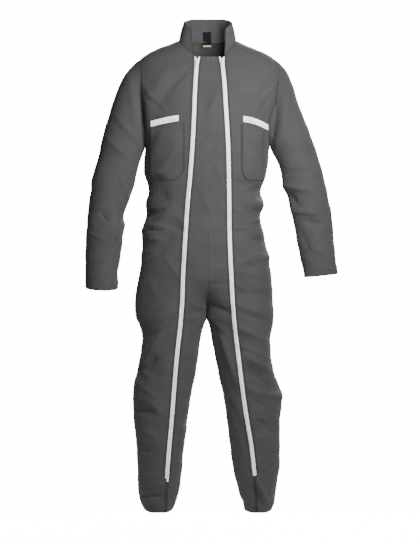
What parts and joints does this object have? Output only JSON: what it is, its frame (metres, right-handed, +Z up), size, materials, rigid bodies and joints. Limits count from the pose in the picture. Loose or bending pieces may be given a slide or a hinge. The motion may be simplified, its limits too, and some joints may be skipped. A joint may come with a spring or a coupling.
{
  "type": "boiler suit",
  "caption": "Long-sleeved boiler suit in its worn, hollow form, with a stand collar, two full-length front zips and two zipped chest pockets",
  "frame": {"origin": "midway between the two points where the collar meets the shoulder seams, which is where the wearer's shoulders carry the garment", "axes": "+Z up, the front of the garment faces -Y, +X to the right of a front view"},
  "size_m": [0.839, 0.2737, 1.6428],
  "materials": {
    "cloth": "matte twill, polyester and cotton",
    "zip": "white woven zip tape and moulded coil",
    "zip_metal": "white enamelled die-cast metal",
    "label": "dark woven tab"
  },
  "bodies": {
    "suit": {"collar": "cloth", "front_centre": "cloth", "front_side_left": "cloth", "front_side_right": "cloth", "back_upper": "cloth", "front_inner_left": "cloth", "front_inner_right": "cloth", "front_outer_left": "cloth", "front_outer_right": "cloth", "back_leg_left": "cloth", "back_leg_right": "cloth", "sleeve_left": "cloth", "sleeve_right": "cloth", "chest_pocket_left": "cloth", "chest_pocket_right": "cloth", "long_zip_left": "zip", "long_zip_right": "zip", "pocket_zip_left": "zip", "pocket_zip_right": "zip", "neck_label": "label"},
    "tab_top_left": {"tab_top_left": "zip_metal"},
    "tab_lower_left": {"tab_lower_left": "zip_metal"},
    "tab_pocket_left": {"tab_pocket_left": "zip_metal"},
    "tab_top_right": {"tab_top_right": "zip_metal"},
    "tab_lower_right": {"tab_lower_right": "zip_metal"},
    "tab_pocket_right": {"tab_pocket_right": "zip_metal"}
  },
  "joints": [
    {"name": "swing_top_left", "type": "hinge", "parent": "suit", "child": "tab_top_left", "pos_m": [-0.03673, -0.08693, -0.06829], "axis": [-0.9975, 0.0536, 0.047], "range_deg": [0, 150]},
    {"name": "swing_lower_left", "type": "hinge", "parent": "suit", "child": "tab_lower_left", "pos_m": [-0.13349, -0.07654, -1.44419], "axis": [-0.9064, -0.4206, 0.0386], "range_deg": [0, 150]},
    {"name": "swing_pocket_left", "type": "hinge", "parent": "suit", "child": "tab_pocket_left", "pos_m": [-0.10679, -0.13089, -0.25945], "axis": [-0.1481, 0.1084, 0.983], "range_deg": [0, 150]},
    {"name": "swing_top_right", "type": "hinge", "parent": "suit", "child": "tab_top_right", "pos_m": [0.04765, -0.08649, -0.06828], "axis": [-0.9941, -0.0798, -0.0738], "range_deg": [0, 150]},
    {"name": "swing_lower_right", "type": "hinge", "parent": "suit", "child": "tab_lower_right", "pos_m": [0.15353, -0.0825, -1.43306], "axis": [-0.9908, 0.1006, -0.0906], "range_deg": [0, 150]},
    {"name": "swing_pocket_right", "type": "hinge", "parent": "suit", "child": "tab_pocket_right", "pos_m": [0.12643, -0.1251, -0.26237], "axis": [-0.1224, -0.0717, -0.9899], "range_deg": [0, 150]}
  ]
}
